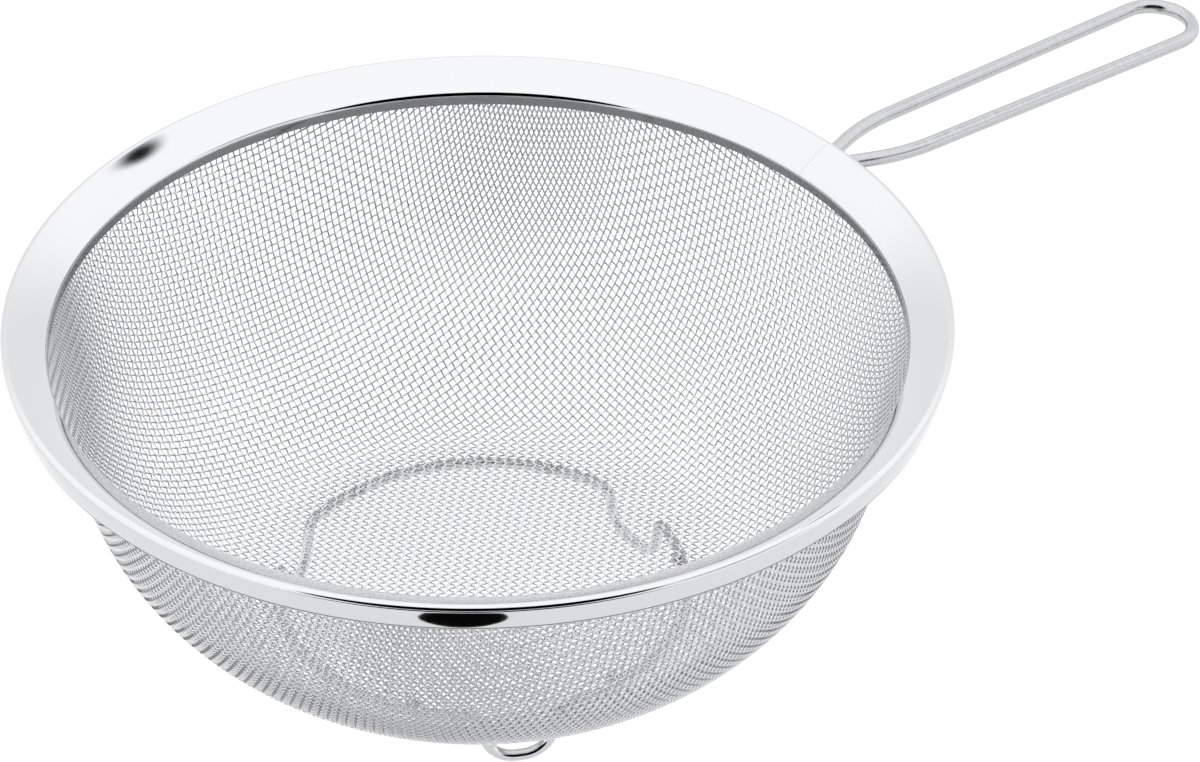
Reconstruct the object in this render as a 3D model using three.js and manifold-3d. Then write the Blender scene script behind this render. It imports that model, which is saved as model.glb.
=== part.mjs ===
// A round kitchen colander: a bowl of woven wire cloth held in a folded steel rim, with a bent
// wire handle at one side and a bent wire stand with three feet below.
// Millimetres, +Z up, the handle along +X. The origin is the middle of the bowl's floor, on its
// inside face.

import * as THREE from 'three';
import { mergeVertices } from 'three/addons/utils/BufferGeometryUtils.js';
import Module from 'manifold-3d';

// Rim: one strip of sheet, folded to a ridge, with a flange sloping in and a skirt hanging down.
// The ridge's size is that of the fold's sharp corner, before the bend rounds it.
const RIDGE_RADIUS = 120.4;
const RIDGE_HEIGHT = 85.9;
const FLANGE_WIDTH = 12;
const FLANGE_DROP = 5.8;
const WALL_DROP = 3.1;
const SKIRT_TUCK = 3.1;
const SKIRT_DROP = 7.2;
const LIP_DROP = 1.3;
const STRIP_THICKNESS = 0.7;
const RIDGE_BEND = 1.4;
const HEM_BEND = 1.2;
const SKIRT_BEND = 1.6;

// Bowl: wire cloth with a flat floor, an arc up to a slanted wall, and a margin held inside the rim
const CLOTH_THICKNESS = 1;
const FLOOR_RADIUS = 63;
const CREASE_BEND = 6;
const SHOULDER_DROP = 29;
const WALL_DRAFT_DEGREES = 15;
const GATE_DROP = 0.6;
const CLOTH_CLEARANCE = 0.3;

// Openings of the cloth: a plain grid along and across the handle, far coarser than the weave
const OPENINGS_ACROSS = 12;
const OPENING_SHARE = 0.72;
const OPENING_MARGIN = 4;

// Handle: one wire bent to a long loop, its two ends brought together at the skirt
const HANDLE_WIRE = 4;
const HANDLE_DEPTH = 3.9;
const HANDLE_DROOP_DEGREES = 1.9;
const HANDLE_LENGTH = 123.6;
const HANDLE_END_RADIUS = 10.3;
const NECK_LENGTH = 14.6;
const NECK_HALF_WIDTH = 8.7;
const NECK_BEND = 9;
const LEG_GAP = 0.3;
const LEG_OVERRUN = 1.4;

// Stand: one wire bent to a ring with feet, its two ends meeting in a butt weld
const STAND_WIRE = 3;
const STAND_INSET = 9.4;
const STAND_TURN_DEGREES = 2.5;
const FOOT_COUNT = 3;
const FOOT_DEPTH = 13;
const FOOT_TOP_HALF_WIDTH = 10.3;
const FOOT_BOTTOM_HALF_WIDTH = 7.6;
const FOOT_TOP_BEND = 2.2;
const FOOT_BOTTOM_BEND = 6.5;
const FOOT_FLAT = 0.3;

// Welds
const BUTT_WELD_LENGTH = 0.5;
const BUTT_WELD_FLASH = 0.1;
const STAND_WELD_RADIUS = 0.6;
const STAND_WELD_LENGTH = 2.5;
const STAND_WELD_SPREAD_DEGREES = 30;
const HANDLE_WELD_RADIUS = 0.9;
const HANDLE_WELD_LENGTH = 2.2;

// Gap kept between pieces that are welded or pressed together
const SEAT_CLEARANCE = 0.3;

// Fineness of the round forms
const TURN_SEGMENTS = 72;
const BEND_SEGMENTS = 3;
const ARC_SEGMENTS = 8;
const HANDLE_SIDES = 10;
const HANDLE_STEPS = 84;
const STAND_SIDES = 8;
const STAND_STEPS = 180;
const WELD_CAP_SEGMENTS = 3;
const WELD_SIDES = 8;

// Places that more than one piece takes its size from
const FLANGE_INNER_RADIUS = RIDGE_RADIUS - FLANGE_WIDTH;
const HEM_HEIGHT = RIDGE_HEIGHT - FLANGE_DROP;
const WALL_FOOT_HEIGHT = HEM_HEIGHT - WALL_DROP;
const CLOTH_INNER_RADIUS = FLANGE_INNER_RADIUS + STRIP_THICKNESS + CLOTH_CLEARANCE;
const CLOTH_OUTER_RADIUS = CLOTH_INNER_RADIUS + CLOTH_THICKNESS;
const HANDLE_HEIGHT = RIDGE_HEIGHT - HANDLE_DEPTH;
const HANDLE_REACH = RIDGE_RADIUS + HANDLE_LENGTH;
const NECK_REACH = RIDGE_RADIUS + NECK_LENGTH;
const STAND_RADIUS = FLOOR_RADIUS - STAND_INSET;
const STAND_HEIGHT = -CLOTH_THICKNESS - SEAT_CLEARANCE - STAND_WIRE / 2;
const FOOT_PITCH_DEGREES = 360 / FOOT_COUNT;

const wasm = await Module();
wasm.setup();

const radians = THREE.MathUtils.degToRad;

const clothSteel = new THREE.MeshStandardMaterial({ color: 0xc9cccd, roughness: 0.35, metalness: 1 });
const polishedSteel = new THREE.MeshStandardMaterial({ color: 0xdfe2e3, roughness: 0.08, metalness: 1 });
const satinSteel = new THREE.MeshStandardMaterial({ color: 0xd3d6d7, roughness: 0.4, metalness: 1 });
const weldSteel = new THREE.MeshStandardMaterial({ color: 0xa9adae, roughness: 0.5, metalness: 1 });

function polar(angle, radius) {
  return new THREE.Vector2(Math.cos(angle), Math.sin(angle)).multiplyScalar(radius);
}

function stepTowards(from, to, distance) {
  return to.clone().sub(from).setLength(distance).add(from);
}

// A line in the plane through the corners, with each inner corner rounded over its bend length,
// or over half of a neighbouring straight where that is shorter
function roundedPath(corners, bends) {
  const path = new THREE.Path();
  path.moveTo(corners[0].x, corners[0].y);
  for (let i = 1; i < corners.length - 1; i += 1) {
    const [last, corner, next] = corners.slice(i - 1, i + 2);
    const bend = Math.min(bends[i - 1], corner.distanceTo(last) / 2, corner.distanceTo(next) / 2);
    const before = stepTowards(corner, last, bend);
    const after = stepTowards(corner, next, bend);
    path.lineTo(before.x, before.y);
    path.quadraticCurveTo(corner.x, corner.y, after.x, after.y);
  }
  const end = corners[corners.length - 1];
  path.lineTo(end.x, end.y);
  return path;
}

// The line moved sideways, to its right, by an even distance
function offsetLine(points, distance) {
  const sides = points.slice(1).map((point, i) => rightOf(points[i], point));
  return points.map((point, i) => {
    const incoming = sides[Math.max(i - 1, 0)];
    const outgoing = sides[Math.min(i, sides.length - 1)];
    const middle = incoming.clone().add(outgoing).normalize();
    return point.clone().addScaledVector(middle, distance / middle.dot(incoming));
  });
}

function rightOf(from, to) {
  const along = to.clone().sub(from).normalize();
  return new THREE.Vector2(along.y, -along.x);
}

// A sheet of even thickness, turned about the bowl's axis from a line of radius and height
function turnedSheet(line, thickness) {
  const profile = [...offsetLine(line, thickness), ...line.slice().reverse()];
  if (profile[0].x > 0) {
    profile.push(profile[0].clone());
  }
  return new THREE.LatheGeometry(profile, TURN_SEGMENTS).rotateX(Math.PI / 2);
}

// A round wire along a curve, with closed ends
function wireAlong(curve, diameter, sides, steps) {
  const corners = Array.from({ length: sides }, (_, i) => polar((2 * Math.PI * i) / sides, diameter / 2));
  const section = new THREE.Shape(corners);
  return new THREE.ExtrudeGeometry(section, { steps, extrudePath: curve, bevelEnabled: false });
}

// A flat route bent into space: place turns each of its points into a point of the object
class WireRoute extends THREE.Curve {
  constructor(flatPath, place) {
    super();
    this.flatPath = flatPath;
    this.place = place;
  }

  getPoint(t, target = new THREE.Vector3()) {
    return target.copy(this.place(this.flatPath.getPointAt(t)));
  }
}

function solidOf(geometry) {
  const bare = new THREE.BufferGeometry();
  bare.setAttribute('position', geometry.getAttribute('position'));
  bare.setIndex(geometry.getIndex());
  const merged = mergeVertices(bare);
  return new wasm.Manifold(new wasm.Mesh({
    numProp: 3,
    vertProperties: Float32Array.from(merged.getAttribute('position').array),
    triVerts: Uint32Array.from(merged.getIndex().array),
  }));
}

function geometryOf(solid) {
  const mesh = solid.getMesh();
  const geometry = new THREE.BufferGeometry();
  geometry.setAttribute('position', new THREE.BufferAttribute(mesh.vertProperties, 3));
  geometry.setIndex(new THREE.BufferAttribute(mesh.triVerts, 1));
  return geometry;
}

function namedMesh(name, geometry, material) {
  const mesh = new THREE.Mesh(geometry, material);
  mesh.name = name;
  return mesh;
}

// The bowl's inside face: flat floor, rounded crease, arc, slanted wall, and the margin in the rim
function bowlLine() {
  const gate = new THREE.Vector2(CLOTH_INNER_RADIUS, WALL_FOOT_HEIGHT - GATE_DROP);
  const draft = radians(WALL_DRAFT_DEGREES);
  const shoulder = new THREE.Vector2(gate.x - SHOULDER_DROP * Math.tan(draft), gate.y - SHOULDER_DROP);
  const floorEdge = new THREE.Vector2(FLOOR_RADIUS, 0);
  const inward = new THREE.Vector2(-Math.cos(draft), Math.sin(draft));
  const span = floorEdge.clone().sub(shoulder);
  const radius = span.lengthSq() / (2 * span.dot(inward));
  const centre = shoulder.clone().addScaledVector(inward, radius);
  const onArc = (angle) => polar(angle, radius).add(centre);
  const floorAngle = Math.atan2(floorEdge.y - centre.y, floorEdge.x - centre.x);
  const creaseAngle = floorAngle + CREASE_BEND / radius;
  const creaseEnd = onArc(creaseAngle);
  const crease = new THREE.Path();
  crease.moveTo(0, 0);
  crease.lineTo(FLOOR_RADIUS - CREASE_BEND, 0);
  crease.quadraticCurveTo(floorEdge.x, floorEdge.y, creaseEnd.x, creaseEnd.y);
  const arc = Array.from({ length: ARC_SEGMENTS }, (_, i) => (
    onArc(THREE.MathUtils.lerp(creaseAngle, -draft, (i + 1) / ARC_SEGMENTS))
  ));
  const marginTop = new THREE.Vector2(CLOTH_INNER_RADIUS, HEM_HEIGHT - STRIP_THICKNESS - CLOTH_CLEARANCE);
  return [...crease.getPoints(BEND_SEGMENTS), ...arc, gate, marginTop];
}

// The bowl's cloth: a flat grid of bars, along and across the handle, that is bent onto the bowl.
// It ends in a circle below the rim, and a plain band goes on from there up into the rim.
function meshBowl() {
  const line = bowlLine();
  const face = new THREE.Path(line);
  const gateLength = new THREE.Path(line.slice(0, -1)).getLength();
  const reach = gateLength - OPENING_MARGIN;
  const lines = gridLines((2 * reach) / OPENINGS_ACROSS);
  const inGrid = ([i, j]) => Math.hypot(lines[i] + lines[i + 1], lines[j] + lines[j + 1]) / 2 < reach;
  const isOpen = ([i, j]) => i % 3 > 0 && j % 3 > 0;
  const place = ([i, j]) => {
    const flat = new THREE.Vector2(lines[i], lines[j]);
    const inside = [[i, j], [i - 1, j], [i, j - 1], [i - 1, j - 1]].every(inGrid);
    return clothPlace(face, inside ? flat.length() : reach, flat.angle());
  };
  const triangles = [];
  for (const [i, j] of gridCells(lines.length - 1).filter(inGrid)) {
    const places = [[i, j], [i + 1, j], [i + 1, j + 1], [i, j + 1]].map(place);
    const neighbours = [[i, j - 1], [i + 1, j], [i, j + 1], [i - 1, j]];
    if (!isOpen([i, j])) {
      addPatch(triangles, places);
    }
    neighbours.forEach((neighbour, side) => {
      const [start, end] = [places[side], places[(side + 1) % places.length]];
      if (!inGrid(neighbour)) {
        addBand(triangles, face, [gateLength, face.getLength()], start, end);
        if (isOpen([i, j])) {
          addCutEdge(triangles, end, start);
        }
      } else if (isOpen(neighbour) && !isOpen([i, j])) {
        addCutEdge(triangles, start, end);
      }
    });
  }
  return namedMesh('mesh_bowl', new THREE.BufferGeometry().setFromPoints(triangles), clothSteel);
}

// Lines of the flat grid, three for each bar: its two edges and the middle of the opening after it
function gridLines(pitch) {
  const halfBar = ((1 - OPENING_SHARE) * pitch) / 2;
  const bars = Array.from({ length: OPENINGS_ACROSS + 1 }, (_, i) => (i - OPENINGS_ACROSS / 2) * pitch);
  return bars.flatMap((bar) => [bar - halfBar, bar + halfBar, bar + pitch / 2]);
}

function gridCells(count) {
  return Array.from({ length: count * count }, (_, i) => [Math.floor(i / count), i % count]);
}

// Both faces of the cloth at a length along the bowl's line and an angle about its axis
function clothPlace(face, length, angle) {
  const t = length / face.getLength();
  const along = face.getTangent(t);
  const inside = face.getPoint(t);
  const outside = inside.clone().addScaledVector(new THREE.Vector2(along.y, -along.x), CLOTH_THICKNESS);
  return {
    angle,
    inside: ringPoint(angle, inside.x, inside.y),
    outside: ringPoint(angle, outside.x, outside.y),
  };
}

// A face's corners go counter-clockwise, seen from the side that it faces
function addFace(triangles, a, b, c, d) {
  triangles.push(a, b, c, a, c, d);
}

// A patch of cloth between four places, counter-clockwise as seen from inside the bowl
function addPatch(triangles, [a, b, c, d]) {
  addFace(triangles, a.inside, b.inside, c.inside, d.inside);
  addFace(triangles, d.outside, c.outside, b.outside, a.outside);
}

// A cut edge of the cloth, which lies to its left as seen from inside the bowl
function addCutEdge(triangles, start, end) {
  addFace(triangles, start.outside, end.outside, end.inside, start.inside);
}

// The plain band above one stretch of the grid's edge, up to each of the lengths in turn
function addBand(triangles, face, lengths, start, end) {
  let lower = [start, end];
  lengths.forEach((length) => {
    const upper = lower.map((place) => clothPlace(face, length, place.angle));
    addPatch(triangles, [...upper, ...lower.reverse()]);
    lower = upper;
  });
  addCutEdge(triangles, ...lower);
}

// The rim's strip: inner wall, hem, flange, ridge, skirt, and the lip that grips the cloth
function rimBand() {
  const corners = [
    new THREE.Vector2(FLANGE_INNER_RADIUS, WALL_FOOT_HEIGHT),
    new THREE.Vector2(FLANGE_INNER_RADIUS, HEM_HEIGHT),
    new THREE.Vector2(RIDGE_RADIUS, RIDGE_HEIGHT),
    new THREE.Vector2(RIDGE_RADIUS - SKIRT_TUCK, RIDGE_HEIGHT - SKIRT_DROP),
    new THREE.Vector2(CLOTH_OUTER_RADIUS + CLOTH_CLEARANCE, RIDGE_HEIGHT - SKIRT_DROP - LIP_DROP),
  ];
  const line = roundedPath(corners, [HEM_BEND, RIDGE_BEND, SKIRT_BEND]).getPoints(BEND_SEGMENTS);
  return namedMesh('rim_band', turnedSheet(line, STRIP_THICKNESS), polishedSteel);
}

function skirtRadius(depth) {
  return RIDGE_RADIUS - (SKIRT_TUCK * depth) / SKIRT_DROP;
}

// Where the handle's legs start, at the skirt, and the direction in which one leg leaves it
const ROOT_RADIUS = skirtRadius(HANDLE_DEPTH) - LEG_OVERRUN;
const ROOT_HALF_WIDTH = (HANDLE_WIRE + LEG_GAP) / 2;
const LEG_ANGLE = Math.atan2(NECK_HALF_WIDTH - ROOT_HALF_WIDTH, NECK_REACH - ROOT_RADIUS);

// The handle's loop, trimmed to the slope of the skirt that its ends are welded to
function handleLoop() {
  const root = new THREE.Vector2(ROOT_RADIUS, ROOT_HALF_WIDTH);
  const neck = new THREE.Vector2(NECK_REACH, NECK_HALF_WIDTH);
  const end = new THREE.Vector2(HANDLE_REACH - HANDLE_END_RADIUS, HANDLE_END_RADIUS);
  const legStart = stepTowards(neck, end, NECK_BEND);
  const legFoot = stepTowards(neck, root, NECK_BEND);
  const route = roundedPath([root, neck, end].map(mirrored), [NECK_BEND]);
  route.absarc(end.x, 0, HANDLE_END_RADIUS, -Math.PI / 2, Math.PI / 2, false);
  route.lineTo(legStart.x, legStart.y);
  route.quadraticCurveTo(neck.x, neck.y, legFoot.x, legFoot.y);
  route.lineTo(root.x, root.y);
  const droop = Math.tan(radians(HANDLE_DROOP_DEGREES));
  const place = (p) => new THREE.Vector3(p.x, p.y, HANDLE_HEIGHT - droop * (p.x - ROOT_RADIUS));
  const wire = wireAlong(new WireRoute(route, place), HANDLE_WIRE, HANDLE_SIDES, HANDLE_STEPS);
  const loop = solidOf(wire).subtract(solidOf(skirtCone()));
  return namedMesh('handle_loop', geometryOf(loop), satinSteel);
}

function mirrored(point) {
  return new THREE.Vector2(point.x, -point.y);
}

// The space inside the skirt's slope, carried on above and below by the handle wire's own size
function skirtCone() {
  const above = skirtRadius(HANDLE_DEPTH - HANDLE_WIRE) + SEAT_CLEARANCE;
  const below = skirtRadius(HANDLE_DEPTH + HANDLE_WIRE) + SEAT_CLEARANCE;
  const cone = new THREE.CylinderGeometry(above, below, 2 * HANDLE_WIRE, TURN_SEGMENTS);
  return cone.rotateX(Math.PI / 2).translate(0, 0, HANDLE_HEIGHT);
}

// The weld bead in the corner between one leg's outer side and the skirt
function handleWeld(name, sideSign) {
  const reach = HANDLE_WELD_RADIUS + SEAT_CLEARANCE;
  const radius = skirtRadius(HANDLE_DEPTH) + reach;
  const legY = ROOT_HALF_WIDTH + (radius - ROOT_RADIUS) * Math.tan(LEG_ANGLE);
  const y = legY + (HANDLE_WIRE / 2 + reach) / Math.cos(LEG_ANGLE);
  const bead = namedMesh(name, weldBead(HANDLE_WELD_RADIUS, HANDLE_WELD_LENGTH), weldSteel);
  const slope = new THREE.Vector3(SKIRT_TUCK, 0, SKIRT_DROP).normalize();
  bead.quaternion.setFromUnitVectors(new THREE.Vector3(0, 1, 0), slope);
  bead.position.set(Math.sqrt(radius ** 2 - y ** 2), sideSign * y, HANDLE_HEIGHT);
  return bead;
}

function weldBead(radius, length) {
  return new THREE.CapsuleGeometry(radius, length, WELD_CAP_SEGMENTS, WELD_SIDES);
}

function footAngle(index) {
  return radians(STAND_TURN_DEGREES + index * FOOT_PITCH_DEGREES);
}

// Half way round from the last foot to the first, where the stand's wire starts and ends
const JOINT_ANGLE = footAngle(0) - radians(FOOT_PITCH_DEGREES) / 2;

// The stand's wire, drawn flat as length along the ring and height, then wrapped round the ring
function footStand() {
  const jointGap = BUTT_WELD_LENGTH + 2 * SEAT_CLEARANCE;
  const corners = [new THREE.Vector2(jointGap / 2, 0)];
  const bends = [];
  for (let i = 0; i < FOOT_COUNT; i += 1) {
    const middle = STAND_RADIUS * (footAngle(i) - JOINT_ANGLE);
    corners.push(
      new THREE.Vector2(middle - FOOT_TOP_HALF_WIDTH, 0),
      new THREE.Vector2(middle - FOOT_BOTTOM_HALF_WIDTH, -FOOT_DEPTH),
      new THREE.Vector2(middle + FOOT_BOTTOM_HALF_WIDTH, -FOOT_DEPTH),
      new THREE.Vector2(middle + FOOT_TOP_HALF_WIDTH, 0),
    );
    bends.push(FOOT_TOP_BEND, FOOT_BOTTOM_BEND, FOOT_BOTTOM_BEND, FOOT_TOP_BEND);
  }
  corners.push(new THREE.Vector2(2 * Math.PI * STAND_RADIUS - jointGap / 2, 0));
  const place = (p) => ringPoint(JOINT_ANGLE + p.x / STAND_RADIUS, STAND_RADIUS, STAND_HEIGHT + p.y);
  const route = new WireRoute(roundedPath(corners, bends), place);
  const wire = solidOf(wireAlong(route, STAND_WIRE, STAND_SIDES, STAND_STEPS));
  return namedMesh('foot_stand', geometryOf(wire.subtract(solidOf(tableTop()))), satinSteel);
}

function ringPoint(angle, radius, height) {
  return new THREE.Vector3(radius * Math.cos(angle), radius * Math.sin(angle), height);
}

// The slab that the feet are flattened against
function tableTop() {
  const width = 2 * STAND_RADIUS + 2 * STAND_WIRE;
  const footHeight = STAND_HEIGHT - FOOT_DEPTH - STAND_WIRE / 2 + FOOT_FLAT;
  return new THREE.BoxGeometry(width, width, STAND_WIRE).translate(0, 0, footHeight - STAND_WIRE / 2);
}

// The flash of the butt weld that closes the stand's ring
function standJoint() {
  const radius = STAND_WIRE / 2 + BUTT_WELD_FLASH;
  const flash = new THREE.CylinderGeometry(radius, radius, BUTT_WELD_LENGTH, 2 * WELD_SIDES);
  const joint = namedMesh('stand_joint', flash, weldSteel);
  joint.rotation.z = JOINT_ANGLE;
  joint.position.copy(ringPoint(JOINT_ANGLE, STAND_RADIUS, STAND_HEIGHT));
  return joint;
}

// A weld bead in the corner between the ring's inner side and the bowl's floor
function standWeld(name, angle) {
  const rise = STAND_WIRE / 2 - STAND_WELD_RADIUS;
  const reach = STAND_WIRE / 2 + SEAT_CLEARANCE + STAND_WELD_RADIUS;
  const radius = STAND_RADIUS - Math.sqrt(reach ** 2 - rise ** 2);
  const bead = namedMesh(name, weldBead(STAND_WELD_RADIUS, STAND_WELD_LENGTH), weldSteel);
  bead.rotation.z = angle;
  bead.position.copy(ringPoint(angle, radius, STAND_HEIGHT + rise));
  return bead;
}

function standWelds() {
  const welds = [];
  for (let i = 0; i < FOOT_COUNT; i += 1) {
    const middle = footAngle(i) + radians(FOOT_PITCH_DEGREES) / 2;
    const spread = radians(STAND_WELD_SPREAD_DEGREES);
    welds.push(standWeld(`stand_weld_${2 * i + 1}`, middle - spread));
    welds.push(standWeld(`stand_weld_${2 * i + 2}`, middle + spread));
  }
  return welds;
}

const colander = new THREE.Group();
colander.add(meshBowl(), rimBand(), handleLoop(), footStand(), standJoint(), ...standWelds());
colander.add(handleWeld('handle_weld_left', 1), handleWeld('handle_weld_right', -1));

export default colander;
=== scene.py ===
# %% [markdown]
# # A wire-mesh colander
# The object is a kitchen colander made of four pieces of stainless steel: a bowl of woven wire
# cloth, a strip folded into a rim, a wire bent into a handle and a wire bent into a stand. Small
# welds join them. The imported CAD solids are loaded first, as a fixed frame. Every piece made below
# takes the place of one of those solids, in the same coordinates, so nothing has to be fitted.

import bpy
import numpy as np
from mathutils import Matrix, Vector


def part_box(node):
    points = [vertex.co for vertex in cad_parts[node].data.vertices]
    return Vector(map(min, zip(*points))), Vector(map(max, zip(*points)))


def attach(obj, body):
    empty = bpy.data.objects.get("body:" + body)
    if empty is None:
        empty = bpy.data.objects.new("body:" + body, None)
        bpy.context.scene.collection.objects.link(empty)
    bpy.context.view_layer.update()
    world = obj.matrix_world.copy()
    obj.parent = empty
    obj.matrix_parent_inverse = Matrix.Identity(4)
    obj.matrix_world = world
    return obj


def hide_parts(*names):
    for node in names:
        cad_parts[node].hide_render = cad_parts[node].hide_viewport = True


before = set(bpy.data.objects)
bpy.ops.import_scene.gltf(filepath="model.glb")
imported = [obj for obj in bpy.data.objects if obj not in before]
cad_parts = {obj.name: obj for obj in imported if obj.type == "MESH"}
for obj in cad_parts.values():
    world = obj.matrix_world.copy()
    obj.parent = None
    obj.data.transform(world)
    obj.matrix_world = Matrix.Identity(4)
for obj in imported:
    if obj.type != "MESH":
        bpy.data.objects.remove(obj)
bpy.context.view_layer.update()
MM = 0.001
print("solids:", ", ".join(sorted(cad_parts)))

# %% [markdown]
# ## The camera
# The camera stands in front of the colander, a little above it, with a long lens. Its place was
# worked out from the ellipses of the rim and the outline of the bowl, so it is typed in here as
# plain numbers. A long lens far away keeps the ellipses nearly parallel, as they are in the
# photograph. There is no depth of field, because all of the object is sharp.

# %% Place the camera
CAMERA_PLACE = np.array([-662.8, -882.7, 869.9]) * MM
CAMERA_TILT_DEGREES = 53.845
CAMERA_TURN_DEGREES = -38.495
LENS_MM, SENSOR_MM = 161.34, 36.0

camera_data = bpy.data.cameras.new("front_camera")
camera_data.lens = LENS_MM
camera_data.sensor_width = SENSOR_MM
camera = bpy.data.objects.new("front_camera", camera_data)
camera.location = CAMERA_PLACE
camera.rotation_euler = np.radians([CAMERA_TILT_DEGREES, 0.0, CAMERA_TURN_DEGREES])
bpy.context.scene.collection.objects.link(camera)
bpy.context.scene.camera = camera
print("camera at", np.round(CAMERA_PLACE, 3), "m")

# %% [markdown]
# ## From arrays to a mesh
# Every surface below is worked out as one array of points and a few arrays of face corners. Blender
# can take such arrays whole with foreach_set, which is much quicker than adding faces one by one.
# Edges that turn by more than a set angle stay sharp, and the rest is shaded smooth.

# %% Turn arrays into an object
SHARP_EDGE_DEGREES = 38.0


def make_piece(name, points, corner_arrays, corner_uv, map_name="surface", point_normals=None):
    """A mesh object at the origin from points (n, 3) in millimetres and arrays of face corners.

    Each corner array has one row per face, and all rows of one array have the same length.
    corner_uv gives one pair of map coordinates for each face corner, in the same order. Where the
    true normals of the surface are known, they are given as point_normals (n, 3).
    """
    mesh = bpy.data.meshes.new(name)
    corners = np.concatenate([faces.ravel() for faces in corner_arrays]).astype(np.int32)
    sizes = np.concatenate([np.full(len(faces), faces.shape[1]) for faces in corner_arrays])
    starts = np.concatenate([[0], np.cumsum(sizes)[:-1]]).astype(np.int32)
    mesh.vertices.add(len(points))
    mesh.vertices.foreach_set("co", (points * MM).astype(np.float32).ravel())
    mesh.loops.add(len(corners))
    mesh.loops.foreach_set("vertex_index", corners)
    mesh.polygons.add(len(starts))
    mesh.polygons.foreach_set("loop_start", starts)
    layer = mesh.uv_layers.new(name=map_name)
    layer.data.foreach_set("uv", corner_uv.astype(np.float32).ravel())
    mesh.update(calc_edges=True)
    mesh.validate()
    mesh.shade_smooth()
    if point_normals is None:
        mesh.set_sharp_from_angle(angle=np.radians(SHARP_EDGE_DEGREES))
    else:
        mesh.normals_split_custom_set_from_vertices(point_normals)
    piece = bpy.data.objects.new(name, mesh)
    bpy.context.scene.collection.objects.link(piece)
    triangles = int((sizes - 2).sum())
    print(f"{name}: {len(points)} points, {triangles} triangles")
    return piece


def grid_corners(rows, columns, rows_close, columns_close):
    """Corners of the faces of a grid of points, and their map coordinates from 0 to 1.

    Face (i, j) joins points (i, j), (i, j + 1), (i + 1, j + 1) and (i + 1, j). Where the rows or
    columns close, the last is followed by the first.
    """
    face_rows, face_columns = rows - (not rows_close), columns - (not columns_close)
    i, j = np.meshgrid(np.arange(face_rows), np.arange(face_columns), indexing="ij")
    i, j = i.ravel(), j.ravel()
    row = np.stack([i, i, i + 1, i + 1], axis=1)
    column = np.stack([j, j + 1, j + 1, j], axis=1)
    corners = (row % rows) * columns + column % columns
    uv = np.stack([row / face_rows, column / face_columns], axis=2)
    return corners, uv.reshape(-1, 2)


# %% [markdown]
# ## Lines with rounded bends
# Sheet and wire are bent over a tool, so every corner of a section or a route is an arc. Polished
# metal shows this at once: a reflection is drawn out on a wide bend and squeezed on a tight one. A
# bevel modifier could round the corners, but here each arc is worked out where its line is drawn.

# %% Round the corners of a line
BEND_STEPS = 14


def rounded_line(corners, bends):
    """A line through the corners, with each inner corner replaced by an arc of a circle.

    The arc starts and ends at the bend's distance from the corner. If the line turns there by w,
    the arc's points are centre + (sin((1 - t) w) start + sin(t w) end) / sin w for t from 0 to 1,
    where start and end lead from the arc's centre to its two ends.
    """
    corners = np.asarray(corners, dtype=float)
    t = np.linspace(0.0, 1.0, BEND_STEPS)[:, None]
    stretches = [corners[:1]]
    for last, corner, following, bend in zip(corners, corners[1:], corners[2:], bends):
        back = (last - corner) / np.linalg.norm(last - corner)
        ahead = (following - corner) / np.linalg.norm(following - corner)
        turn = np.pi - np.arccos(back @ ahead)
        inward = (back + ahead) / np.linalg.norm(back + ahead)
        centre = corner + inward * bend / np.sin(turn / 2)
        start, end = corner + back * bend - centre, corner + ahead * bend - centre
        arc = (np.sin((1 - t) * turn) * start + np.sin(t * turn) * end) / np.sin(turn)
        stretches.append(centre + arc)
    stretches.append(corners[-1:])
    return np.concatenate(stretches)


def distance_along(line):
    """Length of the line from its start to each of its points."""
    steps = np.linalg.norm(np.diff(line, axis=0), axis=1)
    return np.concatenate([[0.0], np.cumsum(steps)])


def evenly_spaced(line, count):
    """The same line as count points that are equally far apart along it."""
    length = distance_along(line)
    places = np.linspace(0.0, length[-1], count)
    return np.stack([np.interp(places, length, axis) for axis in line.T], axis=1)


def directions(line, closed=False):
    """Unit direction at each point of the line, from the point before to the point after."""
    if closed:
        steps = np.roll(line, -1, axis=0) - np.roll(line, 1, axis=0)
    else:
        steps = np.gradient(line, axis=0)
    return steps / np.linalg.norm(steps, axis=-1, keepdims=True)


# %% [markdown]
# ## The rim
# The rim is one strip of thin sheet. A short wall stands inside the bowl, a hem leads to a flange
# that slopes up to a ridge, and a skirt goes down from the ridge to a lip that grips the cloth from
# outside. Rolling has left the flange a little bowed and the skirt a little bellied, which spreads
# their reflections, so each of them has one wide bend in its middle. The strip could be modelled as
# a path with a solidify modifier. Here the section is drawn as a line, moved sideways by the sheet's
# thickness to get its hidden side, and both are carried round the axis, so the thickness is exact
# and the folded edge is closed. The turn starts at the seam, where the strip's two ends meet.

# %% Draw and turn the rim
RIDGE_RADIUS, RIDGE_HEIGHT = 120.149, 86.166
FLANGE_RADIUS, HEM_HEIGHT, WALL_FOOT_HEIGHT = 108.4, 79.775, 76.6
BOW_RADIUS, BOW_HEIGHT = 113.5, 83.48
BELLY_RADIUS, BELLY_HEIGHT = 119.828, 81.9
SKIRT_RADIUS, SKIRT_HEIGHT = 118.956, 77.8
LIP_RADIUS, LIP_HEIGHT = 110.7, 76.9
RIM_BENDS = (0.92, 4.4, 2.173, 1.9, 1.31)
STRIP_THICKNESS = 0.7
RIM_TURN_STEPS = 300
SEAM_DEGREES = 1.6


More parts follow.
